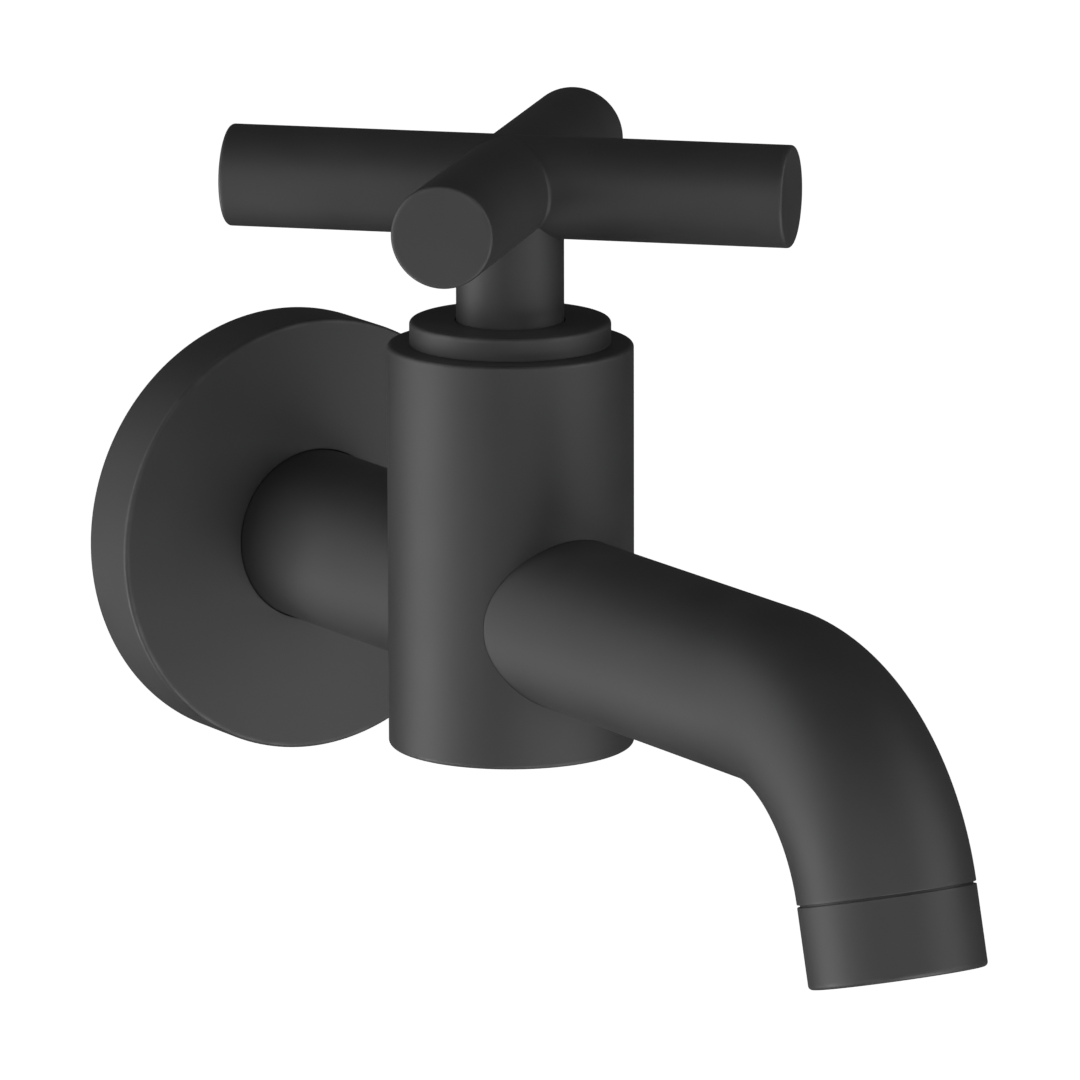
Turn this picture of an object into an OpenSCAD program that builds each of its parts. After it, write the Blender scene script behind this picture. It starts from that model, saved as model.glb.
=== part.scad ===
// Wall-mounted basin tap: cross handle, quarter-turn ceramic headpart and bent spout.
// The origin is on the wall face, on the axis of the inlet. +Z is up, and the tap reaches out along -Y.
// All sizes are in millimetres.

/* [Wall flange] */
// Outer diameter of the flange that covers the hole in the wall
flange_d = 64; // [58:1:80]
// Depth of the flange, from the wall to its flat front
flange_depth = 10.4; // [10:0.2:16]
// Thickness of the flange's front and rim
flange_wall = 2.4; // [1.6:0.2:2.8]
// Radius of the flange's front edge
flange_edge = 0.6; // [0.2:0.1:1.2]
// Gap between the flange and the arm, on each side
flange_gap = 0.3; // [0.15:0.05:0.45]
// Thickness of the O-ring that holds the flange on the arm
flange_seal_t = 2; // [1.6:0.1:2.6]

/* [Inlet arm] */
// Distance from the wall to the axis of the valve body
wall_reach = 65; // [55:1:90]
// Outer diameter of the arm
arm_d = 25; // [24:0.25:26]
// Bore of the arm
arm_bore = 18; // [17.5:0.25:19]
// Outer diameter of the inlet thread
inlet_thread_d = 20.955; // [16.662, 20.955]
// Length of the inlet thread behind the wall face
inlet_thread_l = 14; // [10:0.5:20]
// Thickness of the threaded end's wall
inlet_thread_wall = 3.2; // [2:0.1:4]
// Distance from the wall face to the arm's shoulder
arm_shoulder = 0.5; // [0.2:0.1:1.5]

/* [Valve body] */
// Diameter of the valve body
body_d = 35; // [34.5:0.5:42]
// Height of the valve body
body_h = 58; // [57:0.5:70]
// Depth of the valve body below the inlet axis
body_drop = 20.3; // [18:0.1:21]
// Radius of the body's top and bottom edges
body_edge = 0.6; // [0.2:0.1:1.2]
// Height of the valve seat above the inlet axis
seat_rise = 2; // [1.6:0.1:2.2]
// Bore of the valve seat
seat_bore = 12; // [10:0.25:12.5]
// Depth of the seat bore
seat_depth = 12; // [11.5:0.5:16]
// Bore of the passage from the arm to the seat
inlet_port_d = 7.8; // [6:0.2:8]
// Bore of the passage from the chamber to the spout
outlet_port_d = 7.2; // [5:0.2:7.2]

/* [Headpart] */
// Outer diameter of the headpart's thread
headpart_thread_d = 20.955; // [20.8:0.005:21.4]
// Outer diameter of the headpart's barrel
barrel_d = 18.4; // [18:0.1:18.8]
// Width of the water space round the barrel
barrel_space = 1.6; // [1.3:0.1:1.7]
// Diameter of the ceramic discs
disc_d = 15; // [14.4:0.1:15.4]
// Thickness of each ceramic disc
disc_t = 3.5; // [3:0.1:3.8]
// Angle that each port in the discs spans
port_angle = 80; // [60:2:86]
// Height of the rubber seal on the seat
seal_h = 3; // [2.4:0.1:3.4]
// Diameter of the spindle
spindle_d = 7.8; // [7:0.1:8]
// Thickness of the O-rings on the spindle
spindle_seal_t = 1.5; // [1.2:0.1:1.6]
// Outer diameter of the headpart's neck
neck_d = 10; // [9.8:0.1:10.6]
// Height of the neck above the valve body
neck_rise = 4.8; // [4:0.1:5.2]
// Width across the flats of the headpart's hexagon
hex_af = 19; // [17:0.5:19]
// Number of teeth on the spindle's spline
spline_teeth = 20; // [16:1:24]
// Height of the spindle above the valve body
spindle_rise = 17.3; // [14:0.1:19]

/* [Collar] */
// Outer diameter of the collar on top of the body
collar_d = 28.6; // [28:0.1:32]
// Height of the collar
collar_h = 3.4; // [3:0.1:5]
// Outer diameter of the collar's thread in the body
collar_thread_d = 26; // [25.6:0.1:26.8]
// Depth of the collar's socket in the body
collar_socket = 6.7; // [6.3:0.1:7.5]

/* [Cross handle] */
// Length of each of the two crossed rods
handle_span = 81.4; // [60:0.2:100]
// Diameter of the rods
rod_d = 14.5; // [13.5:0.1:15.2]
// Height of the rods' axis above the valve body
rod_rise = 22.6; // [20:0.1:30]
// Diameter of the handle's stem
stem_d = 15.3; // [15.2:0.05:16]
// Depth of the stem inside the collar
stem_dip = 1.5; // [1.2:0.1:1.7]
// Angle between the rods and the spout with the tap closed
handle_angle = 45; // [0:5:85]
// Radius of the edges at the rods' ends
rod_edge = 0.5; // [0.2:0.1:1.2]
// Diameter of the grub screw that locks the handle
grub_d = 4; // [3:0.5:4]

/* [Spout] */
// Outer diameter of the spout
spout_d = 24.5; // [24:0.25:26]
// Thickness of the spout's wall
spout_wall = 2.5; // [2:0.1:2.7]
// Distance from the body's axis to the start of the bend
spout_straight = 68; // [40:1:120]
// Radius of the bend's centreline
bend_r = 29.5; // [20:0.5:50]
// Angle of the bend
bend_angle = 75; // [30:1:90]

/* [Nozzle] */
// Distance from the end of the spout to the end of the nozzle
nozzle_l = 11.6; // [11:0.1:16]
// Width of the groove between spout and nozzle
nozzle_groove = 0.3; // [0.2:0.05:0.8]
// Depth of the groove between spout and nozzle
nozzle_groove_depth = 0.4; // [0.2:0.05:0.6]
// Outer diameter of the spout's thread under the nozzle
nozzle_thread_d = 22; // [21.6:0.1:22.2]
// Radius of the nozzle's outer edge
nozzle_edge = 0.6; // [0.2:0.1:0.8]
// Width of the nozzle's inner lip
nozzle_lip = 1; // [0.8:0.1:1.4]
// Width of each cell of the outlet grid
cell_af = 1.7; // [1.3:0.1:2.2]
// Thickness of the grid's walls
cell_wall = 0.35; // [0.3:0.05:0.6]

/* [Fits] */
// Gap between pieces that turn or slide on each other, on each side
run_gap = 0.1; // [0.06:0.01:0.14]
// Gap between pieces that are fixed to each other, on each side
seat_gap = 0.05; // [0.02:0.01:0.08]

/* [Hidden] */
$fn = 96;
over = 1;

// Valve body
body_top = body_h - body_drop;
socket_lip = 0.2;
socket_r = max(arm_d, spout_d) / 2 + seat_gap;
socket_floor = sqrt(pow(body_d / 2, 2) - pow(socket_r, 2)) - socket_lip;
chamber_d = barrel_d + 2 * barrel_space;
socket_z = body_top - collar_socket;
inlet_port_land = 0.5;
outlet_port_land = 0.1;
inlet_port_z = (inlet_port_d - arm_bore) / 2 + inlet_port_land;
outlet_port_z = seat_rise + outlet_port_d / 2 + outlet_port_land;

// Headpart's seal and discs, from the seat upwards
seal_free = 1.2;
seal_step = 0.7;
seal_d = disc_d + 2 * seal_step;
film = 0.05;
barrel_bottom = seat_rise + seal_free;
fixed_z = seat_rise + seal_h;
moving_z = fixed_z + disc_t + film;
port_inner_r = disc_d / 7;
port_outer_r = disc_d / 2.6;
key_w = 1.8;
key_t = 0.8;
key_end_gap = 0.3;

// Spindle inside the headpart
foot_z = moving_z + disc_t;
foot_h = 3;
foot_d = disc_d - 2 * run_gap;
foot_web = 0.8;
lug_w = 2.4;
lug_h = 1.1;
lug_inset = 1;
shoulder_h = 4;
shoulder_d = 11;
thrust_z = foot_z + foot_h + shoulder_h;
thrust_t = 0.8;
roof_z = thrust_z + thrust_t + run_gap;
first_seal_rise = 3;
seal_spacing = 5;
spindle_seal_z = [roof_z + first_seal_rise, roof_z + first_seal_rise + seal_spacing];
seal_groove_play = 0.1;

// Headpart's housing
disc_bore = disc_d + 2 * run_gap;
neck_bore = spindle_d + 2 * run_gap;
window_angle = 70;
window_margin = 0.5;
window_z = foot_z + window_margin;
window_h = foot_h + shoulder_h - 2 * window_margin;
headpart_thread_l = 7;
thread_bottom = socket_z - headpart_thread_l;
gasket_t = 1;
housing_flange_z = socket_z + gasket_t;
housing_flange_gap = 1;
housing_flange_d = collar_thread_d - 2 * housing_flange_gap;
housing_flange_t = 1.5;
hex_z = housing_flange_z + housing_flange_t;
hex_sink = 0.5;
hex_top = body_top - hex_sink;
neck_top = body_top + neck_rise;

// Retaining clip and spline
clip_t = 0.8;
clip_z = neck_top + run_gap;
clip_lip = 0.3;
clip_d = neck_d + 2 * clip_lip;
clip_groove_depth = 0.7;
clip_groove_d = spindle_d - 2 * clip_groove_depth;
spindle_top = body_top + spindle_rise;
spline_land = 0.6;
spline_z = clip_z + clip_t + spline_land;
spline_depth = 0.5;
spline_relief = 0.05;
spline_d = spindle_d - 2 * spline_relief;

// Collar, from the hexagon upwards
collar_top = body_top + collar_h;
stem_bottom = collar_top - stem_dip;
skirt_gap = 0.35;
skirt_end_gap = 0.3;
glide_t = 0.6;
recess_z = stem_bottom - run_gap - glide_t;
recess_gap = 3 * run_gap;
recess_d = stem_d + 2 * recess_gap;
neck_gap = 1;
collar_hole = neck_d + 2 * neck_gap;

// Handle's adapter and grub screw
adapter_step = 0.45;
adapter_d = clip_d + 2 * adapter_step;
adapter_cap = 1;
adapter_top = spindle_top + adapter_cap;
stem_bore = adapter_d + 2 * seat_gap;
rod_z = body_top + rod_rise;
grub_drop = 2;
grub_z = (spline_z + spindle_top) / 2 - grub_drop;
grub_bore = grub_d + 2 * seat_gap;
grub_sink = 0.2;
grub_inner = spindle_d / 2 + seat_gap;
grub_outer = stem_d / 2 - grub_sink;
grub_chamfer = 0.5;

// Inlet thread and wall flange, from the wall outwards
thread_chamfer = 1;
flange_bore = arm_d + 2 * flange_gap;
flange_seal_r = arm_d / 2 + run_gap + flange_seal_t / 2;
flange_groove_r = flange_seal_r + flange_seal_t / 2 + seat_gap;
flange_groove_play = 0.2;
flange_groove_w = flange_seal_t + 2 * flange_groove_play;
hub_wall = 1.4;
hub_d = 2 * (flange_groove_r + hub_wall);
hub_back = 2;
flange_seal_s = (hub_back + flange_depth) / 2;

// Nozzle, from the end of the spout outwards
spout_bore = spout_d - 2 * spout_wall;
spout_end_y = -(wall_reach + spout_straight);
nozzle_neck_l = 5;
nozzle_neck_step = 0.3;
nozzle_neck_bore = spout_bore - 2 * nozzle_neck_step;
nozzle_bore = nozzle_thread_d + 2 * seat_gap;
nozzle_washer_t = 1.5;
lip_z = nozzle_l - nozzle_lip;

// Aerator, from the washer outwards
aerator_z = nozzle_neck_l + nozzle_washer_t;
aerator_flange_d = nozzle_thread_d - 2 * run_gap;
aerator_flange_t = 1.2;
aerator_step = 1.7;
aerator_d = nozzle_thread_d - 2 * aerator_step;
aerator_gap = 0.3;
ledge_z = aerator_z + aerator_flange_t;
lip_gap = 0.2;
nose_z = lip_z - lip_gap;
nose_step = 0.9;
nose_d = aerator_d - 2 * nose_step;
nose_sink = 0.3;
nose_end = nozzle_l - nose_sink;
plate_wall = 0.3;
plate_d = nose_d - 2 * plate_wall;
plate_t = 1.2;
screen_flange_t = 0.5;
plate_z = aerator_z + screen_flange_t;
jet_d = 1.1;
jet_circle_step = 0.155 * plate_d;
washer_gap = 0.2;
screen_rim = 0.8;
screen_d = plate_d - 2 * screen_rim;
screen_rise = 3;
screen_wall = 0.6;
screen_pitch = 2.1;
screen_hole_d = 1.2;
screen_slot_w = 0.8;
screen_slot_end = 0.4;
grid_rim = 0.8;
grid_d = plate_d - 2 * grid_rim;
grid_h = 1.9;
grid_sink = 0.2;
air_slot_w = 1.6;
air_slot_h = 0.8;

// Turns children so that their +Z points away from the wall
module from_wall() {
  rotate([90, 0, 0]) children();
}

// Moves children to the axis of the valve body
module at_body() {
  translate([0, -wall_reach, 0]) children();
}

// Moves children to the end of the spout, with their +Z along the flow
module at_nozzle() {
  translate([0, spout_end_y, -bend_r])
    rotate([bend_angle, 0, 0])
      translate([0, 0, bend_r])
        rotate([90, 0, 0]) children();
}

// Straight round bar from z0 to z1
module bar(d, z0, z1) {
  translate([0, 0, z0]) cylinder(d = d, h = z1 - z0);
}

// Ring from z0 to z1
module ring(outer_d, inner_d, z0, z1) {
  difference() {
    bar(outer_d, z0, z1);
    bar(inner_d, z0 - over, z1 + over);
  }
}

// Cut that leaves a quarter round on a profile's corner at the origin, with the profile below and left of it
module edge_cut(r) {
  difference() {
    translate([-r, -r]) square(r + over);
    translate([-r, -r]) circle(r);
  }
}

// Round bar from z0 to z1 with a chamfer at z0
module chamfered_bar(d, z0, z1, chamfer) {
  rotate_extrude()
    polygon([[0, z0], [d / 2 - chamfer, z0], [d / 2, z0 + chamfer], [d / 2, z1], [0, z1]]);
}

// Round bar from z0 to z1 with rounded edges
module rounded_bar(d, z0, z1, edge_0, edge_1) {
  rotate_extrude() difference() {
    translate([0, z0]) square([d / 2, z1 - z0]);
    if (edge_1 > 0) translate([d / 2, z1]) edge_cut(edge_1);
    if (edge_0 > 0) translate([d / 2, z0]) mirror([0, 1]) edge_cut(edge_0);
  }
}

// Wedge of a ring, centred on angle a
module sector(inner_r, outer_r, angle, a, z0, z1) {
  rotate([0, 0, a - angle / 2])
    rotate_extrude(angle = angle)
      translate([inner_r, z0]) square([outer_r - inner_r, z1 - z0]);
}

// Two sectors, opposite each other
module sector_pair(inner_r, outer_r, angle, a, z0, z1) {
  for (turn = [0, 180]) sector(inner_r, outer_r, angle, a + turn, z0, z1);
}

// Two square keys of width w, opposite each other, from inner_r outwards
module key_pair(w, inner_r, z0, z1) {
  for (turn = [0, 180])
    rotate([0, 0, turn]) translate([-w / 2, inner_r, z0]) cube([w, 2 * key_t, z1 - z0]);
}

// O-ring of thickness t round the Z axis
module o_ring(centre_r, t, z) {
  translate([0, 0, z]) rotate_extrude() translate([centre_r, 0]) circle(d = t);
}

module wall_flange() {
  color("#2b2b2c") from_wall() difference() {
    rounded_bar(flange_d, 0, flange_depth, 0, flange_edge);
    difference() {
      bar(flange_d - 2 * flange_wall, -over, flange_depth - flange_wall);
      bar(hub_d, hub_back, flange_depth);
    }
    bar(flange_bore, -over, flange_depth + over);
    bar(2 * flange_groove_r, flange_seal_s - flange_groove_w / 2, flange_seal_s + flange_groove_w / 2);
  }
}

module flange_o_ring() {
  color("#1c1c1c") from_wall() o_ring(flange_seal_r, flange_seal_t, flange_seal_s);
}

module inlet_arm() {
  arm_end = wall_reach - socket_floor;
  color("#2b2b2c") from_wall() difference() {
    union() {
      chamfered_bar(inlet_thread_d, -inlet_thread_l, arm_shoulder + over, thread_chamfer);
      bar(arm_d, arm_shoulder, arm_end);
    }
    bar(inlet_thread_d - 2 * inlet_thread_wall, -inlet_thread_l - over, arm_end + over);
    bar(arm_bore, arm_shoulder + inlet_thread_wall, arm_end + over);
  }
}

module valve_body() {
  color("#2b2b2c") at_body() difference() {
    rounded_bar(body_d, -body_drop, body_top, body_edge, body_edge);
    // Stepped bore for the headpart and the collar
    bar(collar_thread_d + 2 * seat_gap, socket_z, body_top + over);
    bar(headpart_thread_d + 2 * seat_gap, thread_bottom - over, body_top);
    bar(chamber_d, seat_rise, thread_bottom);
    bar(seat_bore, seat_rise - seat_depth, seat_rise + over);
    // Sockets for the arm and the spout
    rotate([-90, 0, 0]) bar(arm_d + 2 * seat_gap, socket_floor, body_d);
    rotate([90, 0, 0]) bar(spout_d + 2 * seat_gap, socket_floor, body_d);
    // Passages from the arm to the seat, and from the chamber to the spout
    translate([0, 0, inlet_port_z])
      rotate([-90, 0, 0]) bar(inlet_port_d, 0, socket_floor + over);
    translate([0, 0, outlet_port_z])
      rotate([90, 0, 0]) bar(outlet_port_d, seat_bore / 2, socket_floor + over);
  }
}

module spout_path(d, extra) {
  from_wall() bar(d, wall_reach + socket_floor - extra, wall_reach + spout_straight);
  translate([0, spout_end_y, -bend_r])
    rotate([0, -90, 180])
      rotate_extrude(angle = bend_angle) translate([bend_r, 0]) circle(d = d);
}

module spout_tube() {
  color("#2b2b2c") difference() {
    union() {
      spout_path(spout_d, 0);
      at_nozzle() bar(nozzle_thread_d, -over, nozzle_neck_l);
    }
    spout_path(spout_bore, over);
    at_nozzle() bar(nozzle_neck_bore, -over, nozzle_neck_l + over);
  }
}

module headpart_housing() {
  color("#c9a35a") at_body() {
    difference() {
      union() {
        bar(barrel_d, barrel_bottom, thread_bottom + over);
        bar(headpart_thread_d, thread_bottom, housing_flange_z + over);
        bar(housing_flange_d, housing_flange_z, hex_z);
        translate([0, 0, hex_z - over])
          cylinder(r = hex_af / sqrt(3), h = hex_top - hex_z + over, $fn = 6);
        bar(neck_d, hex_z, neck_top);
      }
      bar(neck_bore, barrel_bottom, neck_top + over);
      difference() {
        bar(disc_bore, barrel_bottom - over, roof_z);
        // Keys that stop the fixed disc from turning
        key_pair(key_w, disc_d / 2 - key_t + seat_gap, fixed_z, fixed_z + disc_t - key_end_gap);
      }
      bar(seal_d + 2 * seat_gap, barrel_bottom - over, fixed_z);
      sector_pair(port_outer_r, barrel_d, window_angle, 0, window_z, window_z + window_h);
    }
  }
}

module housing_gasket() {
  gasket_bore = headpart_thread_d + 4 * seat_gap;
  color("#8a3b2a") at_body() ring(housing_flange_d, gasket_bore, socket_z, housing_flange_z);
}

module seat_seal() {
  lip = 0.4;
  color("#1c1c1c") at_body() rotate_extrude() polygon([
    [seat_bore / 2, seat_rise],
    [seal_d / 2 - lip, seat_rise],
    [seal_d / 2, seat_rise + seal_free],
    [seal_d / 2, fixed_z],
    [seat_bore / 2 + lip, fixed_z],
    [seat_bore / 2, fixed_z - seal_free]
  ]);
}

module fixed_disc() {
  color("#e8e4da") at_body() difference() {
    bar(disc_d, fixed_z, fixed_z + disc_t);
    sector_pair(port_inner_r, port_outer_r, port_angle, 0, fixed_z - over, moving_z + over);
    key_pair(key_w + 2 * seat_gap, disc_d / 2 - key_t, fixed_z - over, moving_z + over);
  }
}

module moving_disc() {
  color("#f4f1ea") at_body() difference() {
    bar(disc_d, moving_z, foot_z);
    sector_pair(port_inner_r, port_outer_r, port_angle, 90, moving_z - over, foot_z + over);
    translate([-disc_d, -lug_w / 2 - seat_gap, foot_z - lug_h - seat_gap])
      cube([2 * disc_d, lug_w + 2 * seat_gap, lug_h + over]);
  }
}

// Star-shaped outline of the spline, of diameter d over its teeth
module spline_profile(d) {
  polygon([
    for (i = [0 : 2 * spline_teeth - 1])
      let (r = d / 2 - (i % 2) * spline_depth, a = i * 180 / spline_teeth)
        [r * cos(a), r * sin(a)]
  ]);
}

module spindle() {
  seal_groove_r = spindle_d / 2 - spindle_seal_t + run_gap / 2;
  seal_groove_w = spindle_seal_t + 2 * seal_groove_play;
  color("#c9a35a") at_body() difference() {
    union() {
      bar(foot_d, foot_z, foot_z + foot_h);
      translate([-foot_d / 2 + lug_inset, -lug_w / 2, foot_z - lug_h])
        cube([foot_d - 2 * lug_inset, lug_w, lug_h + over]);
      bar(shoulder_d, foot_z + over, thrust_z);
      bar(spindle_d, foot_z + over, spline_z);
      translate([0, 0, spline_z - spline_land / 2])
        linear_extrude(spindle_top - spline_z + spline_land / 2) spline_profile(spline_d);
    }
    // Passages through the foot, above the moving disc's ports
    sector_pair(port_inner_r, disc_d, port_angle, 90, foot_z - lug_h - over, foot_z + foot_h - foot_web);
    for (z = spindle_seal_z)
      ring(spindle_d + over, 2 * seal_groove_r, z - seal_groove_w / 2, z + seal_groove_w / 2);
    ring(spindle_d + over, clip_groove_d, clip_z, clip_z + clip_t);
  }
}

module spindle_o_rings() {
  centre_r = spindle_d / 2 + run_gap / 2 - spindle_seal_t / 2;
  color("#1c1c1c") at_body() for (z = spindle_seal_z) o_ring(centre_r, spindle_seal_t, z);
}

module thrust_washer() {
  color("#e9e9e4") at_body() ring(shoulder_d, spindle_d + 2 * seat_gap, thrust_z, thrust_z + thrust_t);
}

module spindle_clip() {
  mouth_w = clip_groove_d / 1.5;
  color("#9a9c9f") at_body() difference() {
    ring(clip_d, clip_groove_d + 2 * seat_gap, clip_z, clip_z + clip_t);
    translate([0, -mouth_w / 2, clip_z - over]) cube([clip_d, mouth_w, clip_t + 2 * over]);
  }
}

module bonnet_collar() {
  skirt_bore = hex_af / cos(30) + 2 * skirt_gap;
  color("#2b2b2c") at_body() difference() {
    union() {
      rounded_bar(collar_d, body_top, collar_top, 0, body_edge);
      bar(collar_thread_d, hex_z + skirt_end_gap, body_top + over);
    }
    bar(skirt_bore, hex_z, hex_top + skirt_end_gap);
    bar(collar_hole, hex_z, collar_top + over);
    bar(recess_d, recess_z, collar_top + over);
  }
}

module glide_ring() {
  color("#e9e9e4") at_body() ring(recess_d - 2 * run_gap, collar_hole, recess_z, recess_z + glide_t);
}

module cross_handle() {
  color("#2b2b2c") at_body() difference() {
    union() {
      for (turn = [0, 90])
        translate([0, 0, rod_z])
          rotate([0, 0, handle_angle + turn])
            rotate([90, 0, 0])
              rounded_bar(rod_d, -handle_span / 2, handle_span / 2, rod_edge, rod_edge);
      bar(stem_d, stem_bottom, rod_z);
    }
    bar(stem_bore, stem_bottom - over, adapter_top + seat_gap);
    translate([0, 0, grub_z]) rotate([-90, 0, 0]) bar(grub_bore, 0, stem_d);
  }
}

module spline_adapter() {
  color("#c9a35a") at_body() difference() {
    bar(adapter_d, spline_z, adapter_top);
    translate([0, 0, spline_z - over])
      linear_extrude(spindle_top + seat_gap - spline_z + over) spline_profile(spline_d + 2 * seat_gap);
    translate([0, 0, grub_z]) rotate([-90, 0, 0]) bar(grub_bore, 0, stem_d);
  }
}

module grub_screw() {
  key_af = grub_d / 2;
  color("#9a9c9f") at_body() translate([0, 0, grub_z]) rotate([-90, 0, 0]) difference() {
    chamfered_bar(grub_d, grub_inner, grub_outer, grub_chamfer);
    translate([0, 0, (grub_inner + grub_outer) / 2])
      cylinder(r = key_af / sqrt(3), h = grub_outer, $fn = 6);
  }
}

module nozzle_ring() {
  color("#2b2b2c") at_nozzle() difference() {
    union() {
      // Rim that seats on the end of the spout, inside the groove
      bar(spout_d - 2 * nozzle_groove_depth, 0, nozzle_groove + over);
      rounded_bar(spout_d, nozzle_groove, nozzle_l, 0, nozzle_edge);
    }
    bar(nozzle_bore, -over, ledge_z);
    bar(aerator_d + 2 * aerator_gap, nozzle_groove, lip_z);
    bar(nose_d + 2 * aerator_gap, nozzle_groove, nozzle_l + over);
  }
}

module nozzle_washer() {
  color("#1c1c1c") at_nozzle() ring(aerator_flange_d, plate_d + 2 * washer_gap, nozzle_neck_l, aerator_z);
}

module aerator_housing() {
  slots = 8;
  slot_rise = 1.2;
  color("#d9d9d4") at_nozzle() difference() {
    union() {
      bar(aerator_flange_d, aerator_z, ledge_z);
      bar(aerator_d, ledge_z - over, nose_z);
      bar(nose_d, ledge_z, nose_end);
    }
    bar(plate_d + 2 * seat_gap, aerator_z - over, plate_z + plate_t);
    bar(grid_d + 2 * seat_gap, aerator_z, nozzle_l);
    // Slots that let air in beside the jets
    for (i = [0 : slots - 1])
      rotate([0, 0, i * 360 / slots])
        translate([grid_d / 2 - over, -air_slot_w / 2, ledge_z + slot_rise])
          cube([aerator_d, air_slot_w, air_slot_h]);
  }
}

module aerator_screen() {
  top = aerator_z - screen_rise;
  rows = 2;
  slots = 12;
  color("#9a9c9f") at_nozzle() difference() {
    union() {
      bar(screen_d, top, aerator_z + screen_flange_t / 2);
      bar(plate_d, aerator_z, plate_z);
    }
    bar(screen_d - 2 * screen_wall, top + screen_wall, ledge_z);
    // Holes through the top of the strainer
    for (i = [-rows : rows], j = [-rows : rows])
      if (abs(i + j) <= rows)
        translate([screen_pitch * (i + j / 2), screen_pitch * j * sin(60), 0])
          bar(screen_hole_d, top - over, top + over);
    // Slots round its side
    for (i = [0 : slots - 1])
      rotate([0, 0, i * 360 / slots])
        translate([screen_d / 3, -screen_slot_w / 2, top + screen_wall + screen_slot_end])
          cube([screen_d, screen_slot_w, screen_rise - screen_wall - 2 * screen_slot_end]);
  }
}

module aerator_jet_plate() {
  color("#3c6f9e") at_nozzle() difference() {
    bar(plate_d, plate_z, plate_z + plate_t);
    // Two circles of jets, the outer one with twice as many
    for (circle_n = [1, 2])
      for (i = [1 : 6 * circle_n])
        rotate([0, 0, i * 60 / circle_n])
          translate([jet_circle_step * circle_n, 0, 0]) bar(jet_d, plate_z - over, plate_z + plate_t + over);
  }
}

module aerator_grid() {
  pitch = cell_af + cell_wall;
  rows = ceil(grid_d / pitch / 2);
  reach = grid_d / 2 - cell_wall - cell_af / sqrt(3);
  color("#d9d9d4") at_nozzle() difference() {
    bar(grid_d, nose_end - grid_sink - grid_h, nose_end - grid_sink);
    for (i = [-2 * rows : 2 * rows], j = [-rows : rows])
      let (x = pitch * (i + j / 2), y = pitch * j * sin(60))
        if (norm([x, y]) < reach)
          translate([x, y, nose_end - grid_h - over])
            rotate([0, 0, 30]) cylinder(r = cell_af / sqrt(3), h = grid_h + 2 * over, $fn = 6);
  }
}

wall_flange();
flange_o_ring();
inlet_arm();
valve_body();
spout_tube();
headpart_housing();
housing_gasket();
seat_seal();
fixed_disc();
moving_disc();
spindle();
spindle_o_rings();
thrust_washer();
spindle_clip();
bonnet_collar();
glide_ring();
cross_handle();
spline_adapter();
grub_screw();
nozzle_ring();
nozzle_washer();
aerator_housing();
aerator_screen();
aerator_jet_plate();
aerator_grid();
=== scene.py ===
"""Looks of the wall-mounted basin tap: its finishes, fine shapes, studio and camera.

Every size is in metres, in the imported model's frame: the origin is on the wall, +Z is up and the tap
reaches out along -Y.
"""
import math
from collections import namedtuple

import bmesh
import bpy
from mathutils import Matrix, Vector


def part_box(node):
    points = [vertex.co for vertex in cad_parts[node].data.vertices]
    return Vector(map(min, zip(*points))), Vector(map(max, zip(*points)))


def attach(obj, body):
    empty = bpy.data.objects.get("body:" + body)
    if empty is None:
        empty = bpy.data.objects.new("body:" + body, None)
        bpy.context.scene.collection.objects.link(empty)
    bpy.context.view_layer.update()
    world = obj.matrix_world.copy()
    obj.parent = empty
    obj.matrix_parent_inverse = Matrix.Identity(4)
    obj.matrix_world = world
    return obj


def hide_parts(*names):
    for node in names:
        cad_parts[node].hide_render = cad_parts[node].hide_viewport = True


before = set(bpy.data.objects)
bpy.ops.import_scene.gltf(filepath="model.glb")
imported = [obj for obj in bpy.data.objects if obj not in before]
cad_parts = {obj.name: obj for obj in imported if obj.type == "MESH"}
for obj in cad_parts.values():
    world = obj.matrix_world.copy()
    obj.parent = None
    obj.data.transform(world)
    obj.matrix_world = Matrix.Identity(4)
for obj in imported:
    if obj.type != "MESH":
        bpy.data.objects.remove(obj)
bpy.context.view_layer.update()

MM = 0.001
X, Y, Z = Vector((1, 0, 0)), Vector((0, 1, 0)), Vector((0, 0, 1))

# Segments round a turned piece, a rod and a bar
SEGMENTS = 192
ROD_SEGMENTS = 128
BAR_SEGMENTS = 96
# Steps in a rounded corner and in the rods' fillet, and rings in one turn of a thread
CORNER_STEPS = 6
FILLET_STEPS = 4
THREAD_RINGS = 10
# Distance from a rounded corner to the loop that holds it, and its limit as a share of the side
HOLD = 0.3 * MM
HOLD_SHARE = 0.2
# Points closer than this are joined, in a piece and along the seams between the handle's arms
SAME_POINT = 0.0001 * MM
SEAM_POINT = 0.001 * MM
# Edges that bend more than this stay sharp
SHARP_ANGLE = math.radians(32)
# Vertex attribute that marks worn edges
WORN = "worn"

# Roundings from wide to fine: rims, corners inside, ends of threads, broken edges, fine edges, edges
# beside a narrow gap, and edges that look sharp
RIM_EDGE = 0.6 * MM
INNER_EDGE = 0.4 * MM
THREAD_EDGE = 0.3 * MM
BROKEN_EDGE = 0.2 * MM
FINE_EDGE = 0.15 * MM
GAP_EDGE = 0.12 * MM
CRISP_EDGE = 0.1 * MM

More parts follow.
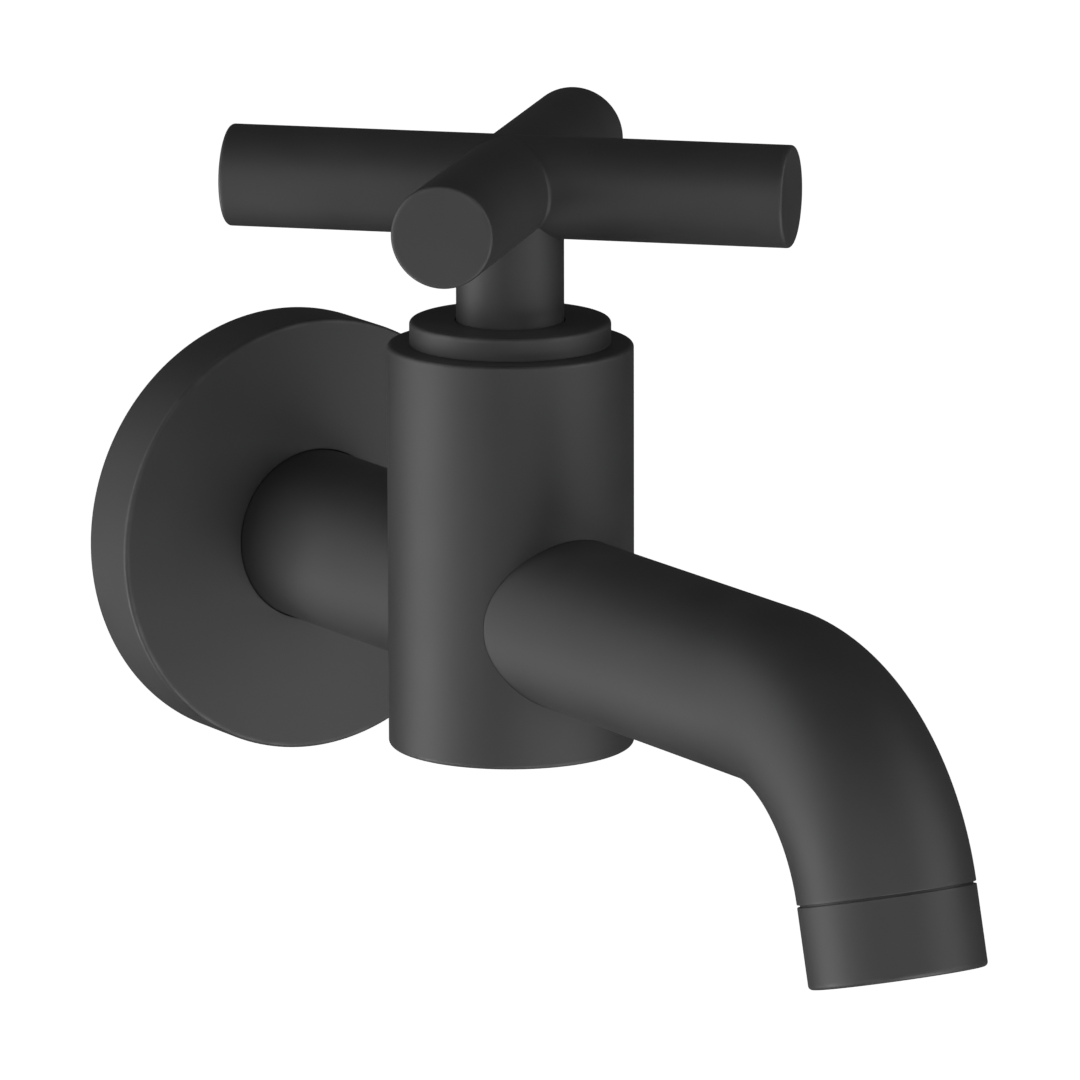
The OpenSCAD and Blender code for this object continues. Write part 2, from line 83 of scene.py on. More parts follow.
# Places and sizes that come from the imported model
body_low, body_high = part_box("valve_body")
BODY_BOTTOM, BODY_TOP, BODY_R = body_low.z, body_high.z, body_high.x
REACH = -(body_low.y + body_high.y) / 2
AXIS = Vector((0, -REACH, 0))
flange_low, flange_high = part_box("wall_flange")
FLANGE_R, FLANGE_DEPTH = flange_high.x, -flange_low.y
arm_low, arm_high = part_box("inlet_arm")
ARM_R, ARM_END, THREAD_L = arm_high.x, -arm_low.y, arm_high.y
collar_low, collar_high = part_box("bonnet_collar")
COLLAR_R, COLLAR_BOTTOM, COLLAR_TOP = collar_high.x, collar_low.z, collar_high.z
handle_low, handle_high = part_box("cross_handle")
STEM_BOTTOM, HANDLE_TOP = handle_low.z, handle_high.z
spout_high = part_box("spout_tube")[1]
SPOUT_R, SPOUT_START = spout_high.x, -spout_high.y

# Inlet's shoulder on the wall, and the wall of its threaded end
SHOULDER = 0.5 * MM
THREAD_WALL = 3.2 * MM

# Spout: where its bend starts from the wall, the bend's radius and its angle
BEND_START = REACH + 68 * MM
BEND_R = 29.5 * MM
BEND_ANGLE = math.radians(75)
SPOUT_L = BEND_START - SPOUT_START + BEND_R * BEND_ANGLE

# Groove above the nozzle ring, and the ring's length from the end of the spout
GROOVE_W = 0.3 * MM
GROOVE_DEPTH = 0.4 * MM
NOZZLE_L = 11.6 * MM

# Cross handle: radius, length and edge of its rods, their direction, and the corner between them
ROD_R = 7.25 * MM
ROD_L = 81.4 * MM
ROD_EDGE = 0.5 * MM
ROD_TURN = math.radians(45)
ROD_FILLET = 0.6 * MM
ROD_Z = HANDLE_TOP - ROD_R

# Camera: the photograph's angle, its distance from the point on the tap that it looks at, and the
# nearest and farthest that it sees
VIEW_AZIMUTH = math.radians(-31.76)
VIEW_ELEVATION = math.radians(12.33)
VIEW_ROLL = math.radians(-0.16)
VIEW_DISTANCE = 1.4943
VIEW_AIM = Vector((4.86, -65, 8.56)) * MM
CLIP_START, CLIP_END = 0.05, 40
# Width of its sensor and length of its lens, in millimetres
SENSOR = 36
LENS = 350.08

# Floor: its height, half its width, its grey and its roughness
FLOOR_Z = -2.6
FLOOR_HALF = 15
FLOOR_GREY = 0.8
FLOOR_ROUGHNESS = 0.9
# What the camera sees of the floor and all round the tap
WHITE = (1, 1, 1, 1)

# Even light from all sides, and the lamps' distance. Each lamp has its azimuth, elevation, width and
# height in degrees, and its power in watts.
AMBIENT = 0.05
LAMP_DISTANCE = 1.3
LAMPS = {
    "left_tall": (-118, 0, 42, 84, 16.8),
    "left_low": (-117, -34, 36, 36, 6.5),
    "left_front": (-70, 0, 30, 50, 3.4),
    "low_right": (8, -41, 56, 48, 16.6),
    "right_side": (38, 18, 44, 50, 7.8),
    "high_front": (-30, 20, 36, 36, 3.8),
}

# Numbers of a Mix node's sockets for colours
MIX_LOW, MIX_HIGH, MIX_RESULT = 6, 7, 2

# Thread on the outside of a turned piece, cut where the piece's radius is at least least_radius
Thread = namedtuple("Thread", "start end pitch depth least_radius")


# Shapes


def outline(corners):
    """Points of a closed outline with its corners rounded, each with how much wear it takes.

    A corner is (radius, distance) or (radius, distance, rounding), and the material lies to the left.
    """
    points = []
    for index, corner in enumerate(corners):
        here = Vector(corner[:2])
        before = Vector(corners[index - 1][:2]) - here
        after = Vector(corners[(index + 1) % len(corners)][:2]) - here
        if len(corner) == 2:
            points.append((here, 0.0))
            continue
        rounding = corner[2]
        half = before.angle(after) / 2
        middle = (before.normalized() + after.normalized()).normalized()
        centre = here + middle * rounding / math.sin(half)
        start = here + before.normalized() * rounding / math.tan(half)
        end = here + after.normalized() * rounding / math.tan(half)
        worn = 1.0 if before.cross(after) < 0 else 0.0
        points.append((start + before * min(HOLD / before.length, HOLD_SHARE), 0.0))
        for step in range(CORNER_STEPS + 1):
            spoke = (start - centre).slerp(end - centre, step / CORNER_STEPS)
            points.append((centre + spoke * rounding, worn))
        points.append((end + after * min(HOLD / after.length, HOLD_SHARE), 0.0))
    return points


def divided(points, spacing):
    """The same closed outline, with its stretches along the axis divided by spacing(distance)."""
    finer = []
    for index, (here, worn) in enumerate(points):
        after = points[(index + 1) % len(points)][0]
        length = abs(after.y - here.y)
        finer.append((here, worn))
        gone = spacing(here.y)
        while gone < length:
            place = here.lerp(after, gone / length)
            finer.append((place, 0.0))
            gone += spacing(place.y)
    return finer


def straight(origin, axis, first):
    """Places a turned piece on a straight axis from origin. first is the direction at angle 0."""
    def place(distance):
        return origin + axis * distance, first, axis.cross(first)
    return place


def along_spout(distance):
    """Centre of the spout and its two radial directions, at a distance from its end in the body."""
    level = BEND_START - SPOUT_START
    turn = min(max(distance - level, 0) / BEND_R, BEND_ANGLE)
    beyond = max(distance - SPOUT_L, 0)
    flow = Vector((0, -math.cos(turn), -math.sin(turn)))
    bend = Vector((0, -math.sin(turn), math.cos(turn) - 1)) * BEND_R
    return -Y * (SPOUT_START + min(distance, level)) + bend + flow * beyond, X, flow.cross(X)


def thread_cut(thread, radius, distance, angle):
    """How deep the thread cuts at this place. It fades in and out over one pitch."""
    if radius < thread.least_radius or not thread.start < distance < thread.end:
        return 0.0
    # Share of the pitch that is flat at the crest, and again at the root
    flat = 0.15
    phase = abs((distance / thread.pitch - angle / math.tau) % 1 * 2 - 1)
    fade = min(1, (distance - thread.start) / thread.pitch, (thread.end - distance) / thread.pitch)
    return thread.depth * fade * min(max((phase - flat) / (1 - 2 * flat), 0), 1)


def turned(name, corners, place, material, thread=None, step=math.inf):
    """Turns an outline round an axis, with a thread on its outside where one is given.

    Along the axis, its rings lie no further apart than step.
    """
    def spacing(distance):
        threaded = thread and thread.start < distance < thread.end
        return thread.pitch / THREAD_RINGS if threaded else step

    mesh = bmesh.new()
    worn_layer = mesh.verts.layers.float.new(WORN)
    rows = []
    for (radius, distance), worn in divided(outline(corners), spacing):
        centre, first, second = place(distance)
        row = []
        for k in range(SEGMENTS):
            angle = math.tau * k / SEGMENTS
            cut = thread_cut(thread, radius, distance, angle) if thread else 0.0
            spoke = first * math.cos(angle) + second * math.sin(angle)
            vertex = mesh.verts.new(centre + spoke * (radius - cut))
            vertex[worn_layer] = worn
            row.append(vertex)
        rows.append(row)
    for index, row in enumerate(rows):
        after = rows[(index + 1) % len(rows)]
        for k in range(SEGMENTS):
            mesh.faces.new((row[k - 1], row[k], after[k], after[k - 1]))
    return mesh_object(name, mesh, material)


def mesh_object(name, mesh, material):
    """A piece from a bmesh, with doubled points joined, smooth faces and sharp edges."""
    bmesh.ops.remove_doubles(mesh, verts=mesh.verts, dist=SAME_POINT)
    data = bpy.data.meshes.new(name)
    mesh.to_mesh(data)
    mesh.free()
    data.materials.append(material)
    data.shade_smooth()
    data.set_sharp_from_angle(angle=SHARP_ANGLE)
    piece = bpy.data.objects.new(name, data)
    bpy.context.scene.collection.objects.link(piece)
    return piece


def cut_out(piece, other):
    """Cuts other out of piece."""
    modifier = piece.modifiers.new("cut", "BOOLEAN")
    modifier.operation = "DIFFERENCE"
    modifier.object = other
    graph = bpy.context.evaluated_depsgraph_get()
    data = bpy.data.meshes.new_from_object(piece.evaluated_get(graph))
    data.name = piece.name
    data.shade_smooth()
    data.set_sharp_from_angle(angle=SHARP_ANGLE)
    piece.modifiers.clear()
    piece.data = data
    bpy.data.objects.remove(other)


def hand_over(piece, body, slot, *nodes):
    """Says what a piece rides on and which nodes it stands for, and hides those nodes. slot, the finish
    that it takes, is not used.
    """
    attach(piece, body)
    if nodes:
        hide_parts(*nodes)


# Nodes of the materials


def add(tree, kind, inputs, **settings):
    """A shader node. Each input is a value, or the output of another node."""
    made = tree.nodes.new(kind)
    for key, value in settings.items():
        setattr(made, key, value)
    for key, value in inputs.items():
        if isinstance(value, bpy.types.NodeSocket):
            tree.links.new(value, made.inputs[key])
        else:
            made.inputs[key].default_value = value
    return made


def plain(name, colour, roughness, metallic=0.0):
    """A material with its plain values on the shader's own sockets, its node tree and its shader."""
    material = bpy.data.materials.new(name)
    material.use_nodes = True
    shader = material.node_tree.nodes["Principled BSDF"]
    shader.inputs["Base Color"].default_value = (*colour, 1)
    shader.inputs["Roughness"].default_value = roughness
    shader.inputs["Metallic"].default_value = metallic
    return material, material.node_tree, shader


def connect(tree, shader, colour, roughness, surface):
    """Gives the shader a colour, a roughness and a raised surface from nodes."""
    tree.links.new(colour, shader.inputs["Base Color"])
    tree.links.new(roughness, shader.inputs["Roughness"])
    tree.links.new(surface, shader.inputs["Normal"])


def grey(level):
    """A neutral colour."""
    return level, level, level


def calculated(tree, operation, first, second):
    """A number worked out from two others."""
    return add(tree, "ShaderNodeMath", {0: first, 1: second}, operation=operation).outputs[0]


def object_place(tree):
    """Where a point lies on the piece, in metres."""
    return add(tree, "ShaderNodeTexCoord", {}).outputs["Object"]


def noise(tree, size, detail=2.0, stretch=(1, 1, 1)):
    """Noise with blotches of about this size. A small stretch draws them out along its axis."""
    scaled = add(tree, "ShaderNodeMapping", {"Vector": object_place(tree), "Scale": stretch})
    inputs = {"Vector": scaled.outputs[0], "Scale": 1 / size, "Detail": detail}
    return add(tree, "ShaderNodeTexNoise", inputs).outputs["Fac"]


def spread(tree, factor, low, high, start=0.3, end=0.7):
    """A number from low to high as factor goes from start to end."""
    inputs = {"Value": factor, "From Min": start, "From Max": end, "To Min": low, "To Max": high}
    return add(tree, "ShaderNodeMapRange", inputs).outputs["Result"]


def mixed(tree, factor, low, high):
    """A colour from low to high, by factor."""
    made = add(tree, "ShaderNodeMix", {"Factor": factor}, data_type="RGBA")
    for socket, colour in ((made.inputs[MIX_LOW], low), (made.inputs[MIX_HIGH], high)):
        if isinstance(colour, bpy.types.NodeSocket):
            tree.links.new(colour, socket)
        else:
            socket.default_value = (*colour, 1)
    return made.outputs[MIX_RESULT]


def raised(tree, height, depth, before=None):
    """A surface raised by height, 1 being depth in metres, over one raised before."""
    inputs = {"Height": height, "Distance": depth, "Strength": 1.0}
    if before:
        inputs["Normal"] = before
    return add(tree, "ShaderNodeBump", inputs).outputs["Normal"]


def body_rims(tree):
    """1 on the rounded rims at the body's top and bottom, and 0 away from them."""
    # How far the mask's centre lies inside the body's corner, and how far the mask reaches from there
    inset = 0.2 * MM
    reach = 0.6 * MM
    place = add(tree, "ShaderNodeVectorMath", {0: object_place(tree), 1: -AXIS}, operation="ADD")
    parts = add(tree, "ShaderNodeSeparateXYZ", {0: place.outputs[0]})
    level = add(tree, "ShaderNodeCombineXYZ", {0: parts.outputs[0], 1: parts.outputs[1]})
    radius = add(tree, "ShaderNodeVectorMath", {0: level.outputs[0]}, operation="LENGTH")
    section = add(tree, "ShaderNodeCombineXYZ", {0: radius.outputs["Value"], 1: parts.outputs[2]})
    masks = []
    for height in (BODY_BOTTOM + inset, BODY_TOP - inset):
        rim = (BODY_R - inset, height, 0)
        away = add(tree, "ShaderNodeVectorMath", {0: section.outputs[0], 1: rim}, operation="DISTANCE")
        masks.append(spread(tree, away.outputs["Value"], 1, 0, reach / 2, reach))
    return calculated(tree, "MAXIMUM", *masks)


def marked_edges(tree):
    """The edges that a piece's mesh marks as worn."""
    return add(tree, "ShaderNodeAttribute", {}, attribute_name=WORN).outputs["Fac"]


# Materials


def powder_coat(name, edges):
    """Matte black powder coat: a fine even grain, faint clouds, and edges rubbed a little smoother.

    edges makes the mask of the piece's edges in the node tree.
    """
    dark, light = grey(0.02), grey(0.025)
    edge_colour = (0.045, 0.045, 0.044)
    edge_share = 0.5
    edge_smoothing = 0.08
    cloud_size = 14 * MM
    patch_size = 5 * MM
    peel_size, peel_height = 1.1 * MM, 0.006 * MM
    grain_size, grain_height = 0.28 * MM, 0.004 * MM
    material, tree, shader = plain(name, grey(0.022), roughness=0.55)
    clouds = noise(tree, cloud_size, detail=3)
    grain = noise(tree, grain_size, detail=2)
    peel = noise(tree, peel_size, detail=1)
    patches = spread(tree, noise(tree, patch_size, detail=4), 0, 1, start=0.42, end=0.66)
    rubbed = calculated(tree, "MULTIPLY", edges(tree), patches)
    base = mixed(tree, spread(tree, clouds, 0, 1), dark, light)
    colour = mixed(tree, calculated(tree, "MULTIPLY", rubbed, edge_share), base, edge_colour)
    smoother = calculated(tree, "MULTIPLY", rubbed, edge_smoothing)
    roughness = calculated(tree, "SUBTRACT", spread(tree, clouds, 0.52, 0.58), smoother)
    surface = raised(tree, grain, grain_height, raised(tree, peel, peel_height))
    connect(tree, shader, colour, roughness, surface)
    return material


def turned_brass(name, marks):
    """Bare turned brass, with tool marks across the axis and thin patches of tarnish."""
    clean, tarnished = (0.78, 0.57, 0.28), (0.5, 0.34, 0.15)
    patch_size = 4 * MM
    mark_size, mark_height = 0.16 * MM, 0.005 * MM
    material, tree, shader = plain(name, (0.78, 0.58, 0.3), roughness=0.28, metallic=1.0)
    rings = noise(tree, mark_size, detail=2, stretch=marks)
    patches = noise(tree, patch_size, detail=4)
    colour = mixed(tree, spread(tree, patches, 0, 1, start=0.45, end=0.75), clean, tarnished)
    surface = raised(tree, rings, mark_height)
    connect(tree, shader, colour, spread(tree, patches, 0.22, 0.4), surface)
    return material


def moulded_rubber():
    """Black seal rubber, with a bloom of dust and a soft grain."""
    clean, dusty = grey(0.016), (0.05, 0.05, 0.048)
    bloom_size = 2.5 * MM
    grain_size, grain_height = 0.12 * MM, 0.004 * MM
    material, tree, shader = plain("seal_rubber", grey(0.018), roughness=0.65)
    bloom = noise(tree, bloom_size, detail=4)
    colour = mixed(tree, spread(tree, bloom, 0, 1, start=0.5, end=0.8), clean, dusty)
    surface = raised(tree, noise(tree, grain_size, detail=2), grain_height)
    connect(tree, shader, colour, spread(tree, bloom, 0.55, 0.75), surface)
    return material


def pressed_fibre():
    """Red vulcanised fibre, with its paper's strands."""
    dark, light = (0.22, 0.05, 0.03), (0.38, 0.12, 0.07)
    strand_size, strand_height = 0.3 * MM, 0.01 * MM
    material, tree, shader = plain("red_fibre", (0.3, 0.08, 0.05), roughness=0.7)
    strands = noise(tree, strand_size, detail=4, stretch=(1, 0.25, 1))
    colour = mixed(tree, spread(tree, strands, 0, 1), dark, light)
    surface = raised(tree, strands, strand_height)
    connect(tree, shader, colour, spread(tree, strands, 0.6, 0.8), surface)
    return material


def lapped_ceramic():
    """Cream alumina, lapped smooth, with fine grey specks."""
    cream, speck = (0.85, 0.82, 0.76), (0.5, 0.48, 0.45)
    polish_size = 3 * MM
    speck_size, speck_height = 0.2 * MM, 0.001 * MM
    material, tree, shader = plain("alumina_ceramic", (0.85, 0.83, 0.78), roughness=0.16)
    specks = noise(tree, speck_size, detail=3)
    colour = mixed(tree, spread(tree, specks, 0, 1, start=0.66, end=0.74), cream, speck)
    roughness = spread(tree, noise(tree, polish_size), 0.12, 0.22)
    connect(tree, shader, colour, roughness, raised(tree, specks, speck_height))
    return material


def moulded_plastic(name, light, dark, roughness):
    """Plastic with a little depth, faint flow marks and a fine grain."""
    flow_size = 3 * MM
    grain_size, grain_height = 0.15 * MM, 0.003 * MM
    glossier, duller = roughness - 0.06, roughness + 0.08
    material, tree, shader = plain(name, light, roughness)
    shader.inputs["Subsurface Weight"].default_value = 0.15
    shader.inputs["Subsurface Scale"].default_value = 0.5 * MM
    flow = noise(tree, flow_size, detail=3)
    colour = mixed(tree, spread(tree, flow, 0, 1), light, dark)
    surface = raised(tree, noise(tree, grain_size), grain_height)
    connect(tree, shader, colour, spread(tree, flow, glossier, duller), surface)
    return material


def rolled_steel():
    """Stainless steel with fine rolling marks."""
    dark, light = (0.52, 0.52, 0.53), (0.66, 0.66, 0.67)
    mark_size, mark_height = 0.1 * MM, 0.002 * MM
    material, tree, shader = plain("stainless_steel", (0.6, 0.6, 0.61), roughness=0.3, metallic=1.0)
    rolled = noise(tree, mark_size, detail=3, stretch=(1, 0.1, 1))
    colour = mixed(tree, spread(tree, rolled, 0, 1), dark, light)
    surface = raised(tree, rolled, mark_height)
    connect(tree, shader, colour, spread(tree, rolled, 0.24, 0.4), surface)
    return material


coat = powder_coat("matte_black_coat", marked_edges)
level_brass = turned_brass("turned_brass_level", (0.05, 1, 0.05))
finishes = {
    "black_finish": powder_coat("matte_black_body", body_rims),
    "brass": turned_brass("turned_brass_upright", (0.05, 0.05, 1)),
    "rubber": moulded_rubber(),
    "fibre": pressed_fibre(),
    "ceramic": lapped_ceramic(),
    "slip_plastic": moulded_plastic("slip_plastic_white", (0.8, 0.8, 0.77), (0.7, 0.7, 0.66), 0.4),
    "steel": rolled_steel(),
    "aerator_plastic": moulded_plastic(
        "aerator_plastic_grey", (0.62, 0.63, 0.62), (0.52, 0.53, 0.52), 0.42
    ),
}
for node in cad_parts.values():
    for slot in node.material_slots:
        slot.material = finishes[slot.material.name]


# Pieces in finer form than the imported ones


def wall_flange():
    """Flange shell: flat front, rim, and the hub with the groove of the O-ring. Then the ring itself."""
    wall = 2.4 * MM
    bore_r = ARM_R + 0.12 * MM
    groove_r = ARM_R + 2.15 * MM
    groove_back, groove_front = 5 * MM, 7.4 * MM
    hub_r = groove_r + 1.4 * MM
    hub_back = 2 * MM
    inner_r = FLANGE_R - wall
    inner_front = FLANGE_DEPTH - wall
    corners = [
        (FLANGE_R, 0, FINE_EDGE),
        (FLANGE_R, FLANGE_DEPTH, RIM_EDGE),
        (bore_r, FLANGE_DEPTH, GAP_EDGE),
        (bore_r, groove_front),
        (groove_r, groove_front),
        (groove_r, groove_back),
        (bore_r, groove_back),
        (bore_r, hub_back, BROKEN_EDGE),
        (hub_r, hub_back, BROKEN_EDGE),
        (hub_r, inner_front, INNER_EDGE),
        (inner_r, inner_front, RIM_EDGE),
        (inner_r, 0, FINE_EDGE),
    ]
    from_wall = straight(Vector(), -Y, X)
    shell = turned("wall_flange_shell", corners, from_wall, coat)
    hand_over(shell, "flange", "black_finish", "wall_flange")
    # The ring is squeezed between the groove and the arm
    squeeze = 0.03 * MM
    play = 0.15 * MM
    ring_edge = 0.9 * MM
    ring_corners = [
        (groove_r, groove_back + play, ring_edge),
        (groove_r, groove_front - play, ring_edge),
        (ARM_R - squeeze, groove_front - play, ring_edge),
        (ARM_R - squeeze, groove_back + play, ring_edge),
    ]
    ring = turned("flange_seal_squeezed", ring_corners, from_wall, finishes["rubber"])
    hand_over(ring, "flange", "rubber", "flange_o_ring")


def inlet_arm():
    """Arm: the coated tube, and the bare threaded end behind the wall."""
    bore_r = 9 * MM
    thread_r = 10.4775 * MM
    thread_bore = thread_r - THREAD_WALL
    chamfer = 1 * MM
    from_wall = straight(Vector(), -Y, X)
    tube = [
        (ARM_R, SHOULDER, BROKEN_EDGE),
        (ARM_R, ARM_END),
        (bore_r, ARM_END),
        (bore_r, SHOULDER + THREAD_WALL),
        (thread_r, SHOULDER + THREAD_WALL),
        (thread_r, SHOULDER),
    ]
    hand_over(turned("inlet_arm_tube", tube, from_wall, coat), "tap", "black_finish", "inlet_arm")
    end = [
        (thread_r - chamfer, -THREAD_L, FINE_EDGE),
        (thread_r, chamfer - THREAD_L),
        (thread_r, SHOULDER + THREAD_WALL),
        (thread_bore, SHOULDER + THREAD_WALL),
        (thread_bore, -THREAD_L, INNER_EDGE),
    ]
    thread = Thread(
        start=-THREAD_L,
        end=-0.3 * MM,
        pitch=1.814 * MM,
        depth=1.16 * MM,
        least_radius=thread_bore + 1.5 * MM,
    )
    hand_over(turned("inlet_thread", end, from_wall, level_brass, thread), "tap", "brass")


def bonnet_collar():
    """Collar on the body: its flange, and the threaded skirt inside the body's mouth."""
    skirt_r = 13 * MM
    skirt_bore = 11.32 * MM
    skirt_top = BODY_TOP - 0.2 * MM
    stem_hole = 6 * MM
    recess_r = 7.8 * MM
    recess_floor = COLLAR_TOP - 2.2 * MM
    corners = [
        (skirt_r, COLLAR_BOTTOM, THREAD_EDGE),
        (skirt_r, BODY_TOP),
        (COLLAR_R, BODY_TOP, CRISP_EDGE),
        (COLLAR_R, COLLAR_TOP, RIM_EDGE),
        (recess_r, COLLAR_TOP, CRISP_EDGE),
        (recess_r, recess_floor),
        (stem_hole, recess_floor, FINE_EDGE),
        (stem_hole, skirt_top),
        (skirt_bore, skirt_top),
        (skirt_bore, COLLAR_BOTTOM, BROKEN_EDGE),
    ]
    thread = Thread(
        start=COLLAR_BOTTOM,
        end=BODY_TOP - 0.5 * MM,
        pitch=1 * MM,
        depth=0.55 * MM,
        least_radius=12 * MM,
    )
    piece = turned("bonnet_collar_turned", corners, straight(AXIS, Z, X), coat, thread)
    hand_over(piece, "tap", "black_finish", "bonnet_collar")


def spout_tube():
    """Spout: one tube from the body through its bend to the threaded neck."""
    bore_r = 9.75 * MM
    bore_end = SPOUT_L - 1 * MM
    neck_r = 11 * MM
    neck_bore = 9.45 * MM
    neck_end = SPOUT_L + 5 * MM
    corners = [
        (SPOUT_R, 0),
        (SPOUT_R, SPOUT_L, GAP_EDGE),
        (neck_r, SPOUT_L),
        (neck_r, neck_end, THREAD_EDGE),
        (neck_bore, neck_end, BROKEN_EDGE),
        (neck_bore, bore_end),
        (bore_r, bore_end),
        (bore_r, 0),
    ]
    thread = Thread(
        start=SPOUT_L + 0.6 * MM,
        end=neck_end,
        pitch=1 * MM,
        depth=0.4 * MM,
        least_radius=10.5 * MM,
    )
    piece = turned("spout", corners, along_spout, coat, thread, step=1 * MM)
    hand_over(piece, "tap", "black_finish", "spout_tube")


def nozzle_ring():
    """Ring at the outlet: its rim seats on the spout inside the groove, its lip holds the aerator."""
    thread_bore = 11.05 * MM
    insert_bore = 9.6 * MM
    lip_r = 8.7 * MM
    ledge = SPOUT_L + 7.7 * MM
    end = SPOUT_L + NOZZLE_L
    lip_top = end - 1 * MM
    corners = [
        (SPOUT_R - GROOVE_DEPTH, SPOUT_L),
        (SPOUT_R - GROOVE_DEPTH, SPOUT_L + GROOVE_W),
        (SPOUT_R, SPOUT_L + GROOVE_W, GAP_EDGE),
        (SPOUT_R, end, RIM_EDGE),
        (lip_r, end, BROKEN_EDGE),
        (lip_r, lip_top),
        (insert_bore, lip_top),
        (insert_bore, ledge),
        (thread_bore, ledge),
        (thread_bore, SPOUT_L),
    ]
    piece = turned("nozzle_ring_turned", corners, along_spout, coat)
    hand_over(piece, "tap", "black_finish", "nozzle_ring")


def rod_row(arm, side, angle):
    """Points from the crossing to the end of one arm of the handle, at an angle round the arm.

    The first ones run round the fillet, on the ball that touches this arm and the next.
    """
    half = ROD_L / 2
    straight_end = half - ROD_EDGE
    # Distances of the loops along the rod, and radii of the loops on its flat end
    straight_loops = (10 * MM, 25 * MM, straight_end - HOLD)
    end_loops = (ROD_R - ROD_EDGE - HOLD, ROD_R / 2)
    # Where the sine is smaller, spoke and across are the same and no arc lies between them
    least_sine = 1e-6
    sine, cosine = abs(math.sin(angle)), math.cos(angle)
    spoke = side * math.sin(angle) + Z * cosine
    ball = (ROD_R + ROD_FILLET) * (arm * sine + spoke)
    across = arm * sine + Z * cosine
    row = []
    for step in range(FILLET_STEPS + 1):
        share = (1 - step / FILLET_STEPS) / 2
        touch = spoke.slerp(across, share) if sine > least_sine else spoke
        row.append((ball - touch * ROD_FILLET, 0.0))
    for distance in straight_loops:
        row.append((arm * distance + spoke * ROD_R, 0.0))
    for step in range(CORNER_STEPS + 1):
        bend = math.pi / 2 * step / CORNER_STEPS
        radius = ROD_R - ROD_EDGE + ROD_EDGE * math.cos(bend)
        row.append((arm * (straight_end + ROD_EDGE * math.sin(bend)) + spoke * radius, 1.0))
    for radius in end_loops:
        row.append((arm * half + spoke * radius, 0.0))
    return row


def cross_rods():
    """The handle's two rods as one skin, with the corner rounded where they meet."""
    mesh = bmesh.new()
    worn_layer = mesh.verts.layers.float.new(WORN)
    for quarter in range(4):
        turn = Matrix.Rotation(ROD_TURN + quarter * math.tau / 4, 3, "Z")
        rows = []
        for k in range(ROD_SEGMENTS):
            row = []
            for point, worn in rod_row(turn @ X, turn @ Y, math.tau * k / ROD_SEGMENTS):
                vertex = mesh.verts.new(AXIS + Z * ROD_Z + point)
                vertex[worn_layer] = worn
                row.append(vertex)
            rows.append(row)
        for k in range(ROD_SEGMENTS):
            for j in range(len(rows[k]) - 1):
                mesh.faces.new((rows[k - 1][j], rows[k][j], rows[k][j + 1], rows[k - 1][j + 1]))
        mesh.faces.new([row[-1] for row in rows])
    bmesh.ops.remove_doubles(mesh, verts=mesh.verts, dist=SEAM_POINT)
    bmesh.ops.recalc_face_normals(mesh, faces=mesh.faces)
    return mesh_object("cross_handle_rods", mesh, coat)


def bar(name, radius, start, end):
    """A round bar between two points, for a cut."""
    mesh = bmesh.new()
    axis = end - start
    place = Matrix.Translation((start + end) / 2) @ axis.to_track_quat("Z", "Y").to_matrix().to_4x4()
    bmesh.ops.create_cone(
        mesh,
        cap_ends=True,
        segments=BAR_SEGMENTS,
        radius1=radius,
        radius2=radius,
        depth=axis.length,
        matrix=place,
    )
    return mesh_object(name, mesh, coat)


def cross_handle():
    """Handle: two crossed rods on a stem that is bored for the spline's adapter and the grub screw.

    The stem ends inside the rods, so that its faces stay whole and smooth.
    """
    stem_r = 7.65 * MM
    stem_top = ROD_Z - 1 * MM
    stem_bore = 5.8 * MM
    bore_top = STEM_BOTTOM + 16.45 * MM
    grub_r = 2.05 * MM
    grub_z = 47.5 * MM
    grub_place = AXIS + Z * grub_z
    corners = [
        (stem_r, STEM_BOTTOM, BROKEN_EDGE),
        (stem_r, stem_top),
        (0.0, stem_top),
        (0.0, bore_top),
        (stem_bore, bore_top),
        (stem_bore, STEM_BOTTOM, BROKEN_EDGE),
    ]
    stem = turned("cross_handle_stem", corners, straight(AXIS, Z, X), coat)
    cut_out(stem, bar("hole", grub_r, grub_place, grub_place + Y * 2 * stem_r))
    hand_over(stem, "handle", "black_finish")
    hand_over(cross_rods(), "handle", "black_finish", "cross_handle")


# Studio


def towards(azimuth, elevation):
    """Unit vector from the tap. Azimuth 0 is straight out from the wall, and a right angle is to +X."""
    level = math.cos(elevation)
    return Vector((math.sin(azimuth) * level, -math.cos(azimuth) * level, math.sin(elevation)))


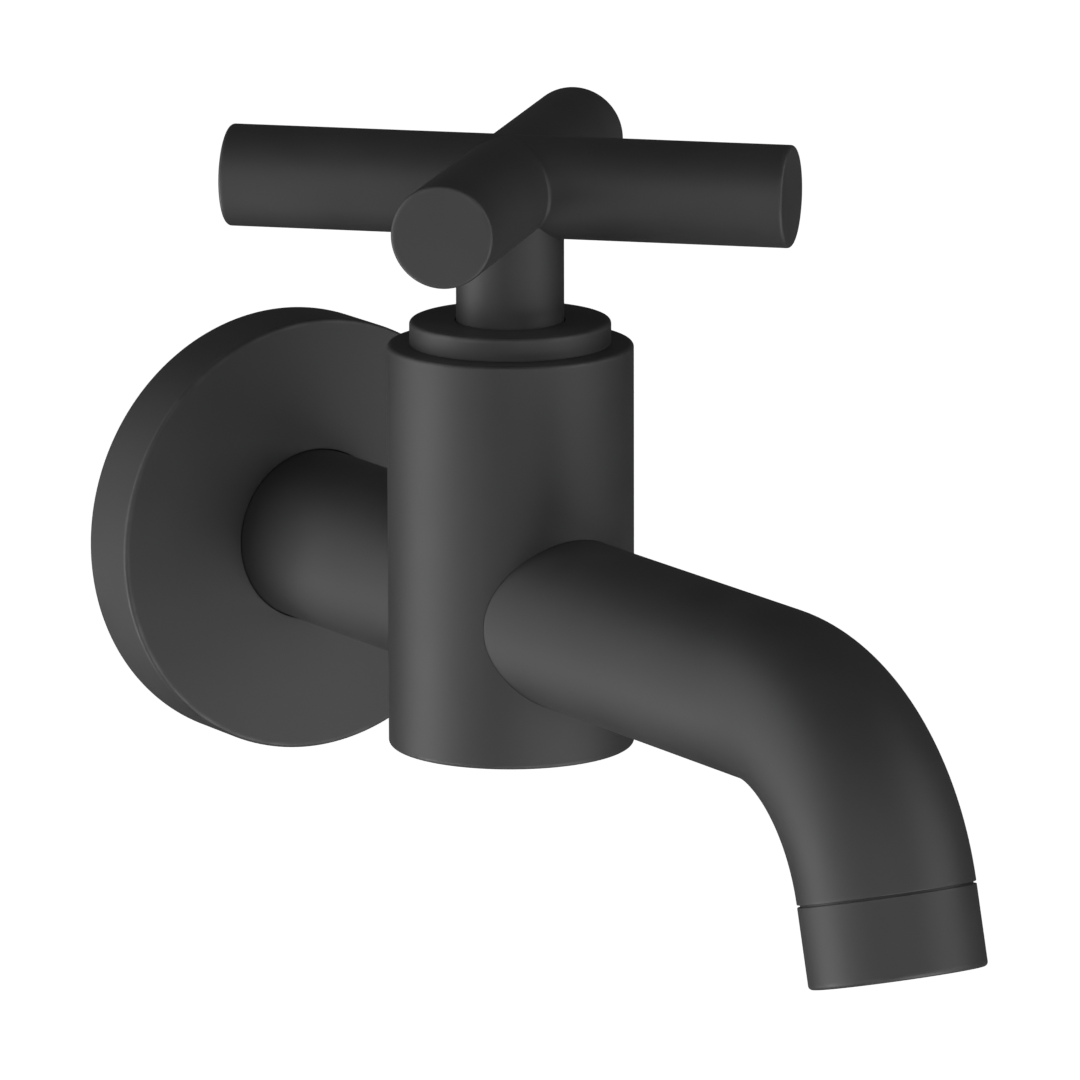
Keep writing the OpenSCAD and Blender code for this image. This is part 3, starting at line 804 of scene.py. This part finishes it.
def camera():
    """The camera, at the photograph's angle."""
    back = towards(VIEW_AZIMUTH, VIEW_ELEVATION)
    right = Matrix.Rotation(VIEW_ROLL, 3, back) @ Z.cross(back).normalized()
    data = bpy.data.cameras.new("camera")
    data.sensor_width = SENSOR
    data.lens = LENS
    data.clip_start, data.clip_end = CLIP_START, CLIP_END
    eye = bpy.data.objects.new("camera", data)
    turn = Matrix((right, back.cross(right), back)).transposed().to_4x4()
    eye.matrix_world = Matrix.Translation(VIEW_AIM + back * VIEW_DISTANCE) @ turn
    bpy.context.scene.collection.objects.link(eye)
    bpy.context.scene.camera = eye


def floor():
    """Pale floor. It shows as plain white and still reflects the lamps' light softly."""
    mesh = bmesh.new()
    bmesh.ops.create_grid(mesh, size=FLOOR_HALF, matrix=Matrix.Translation((0, 0, FLOOR_Z)))
    material, tree, shader = plain("pale_floor", grey(FLOOR_GREY), FLOOR_ROUGHNESS)
    shader.inputs["Specular IOR Level"].default_value = 0
    shader.inputs["Emission Color"].default_value = WHITE
    seen = add(tree, "ShaderNodeLightPath", {}).outputs["Is Camera Ray"]
    tree.links.new(seen, shader.inputs["Emission Strength"])
    mesh_object("floor", mesh, material)


def surroundings():
    """White surroundings for what the camera sees, and a little even light from all sides."""
    world = bpy.data.worlds.new("studio")
    world.use_nodes = True
    tree = world.node_tree
    seen = add(tree, "ShaderNodeLightPath", {}).outputs["Is Camera Ray"]
    background = tree.nodes["Background"]
    background.inputs["Color"].default_value = WHITE
    strength = spread(tree, seen, AMBIENT, 1.0, start=0, end=1)
    tree.links.new(strength, background.inputs["Strength"])
    bpy.context.scene.world = world


def softbox(name, azimuth, elevation, width, height, power):
    """A soft lamp that faces the tap, with its place and size in degrees. It isn't seen itself."""
    data = bpy.data.lights.new(name, "AREA")
    data.shape = "RECTANGLE"
    data.size = 2 * LAMP_DISTANCE * math.tan(math.radians(width / 2))
    data.size_y = 2 * LAMP_DISTANCE * math.tan(math.radians(height / 2))
    data.energy = power
    away = towards(math.radians(azimuth), math.radians(elevation))
    lamp = bpy.data.objects.new(name, data)
    turn = away.to_track_quat("Z", "Y").to_matrix().to_4x4()
    lamp.matrix_world = Matrix.Translation(VIEW_AIM + away * LAMP_DISTANCE) @ turn
    lamp.visible_camera = False
    bpy.context.scene.collection.objects.link(lamp)


wall_flange()
inlet_arm()
bonnet_collar()
spout_tube()
nozzle_ring()
cross_handle()

camera()
floor()
surroundings()
for lamp_name, setting in LAMPS.items():
    softbox(lamp_name, *setting)
bpy.context.scene.view_settings.view_transform = "Standard"
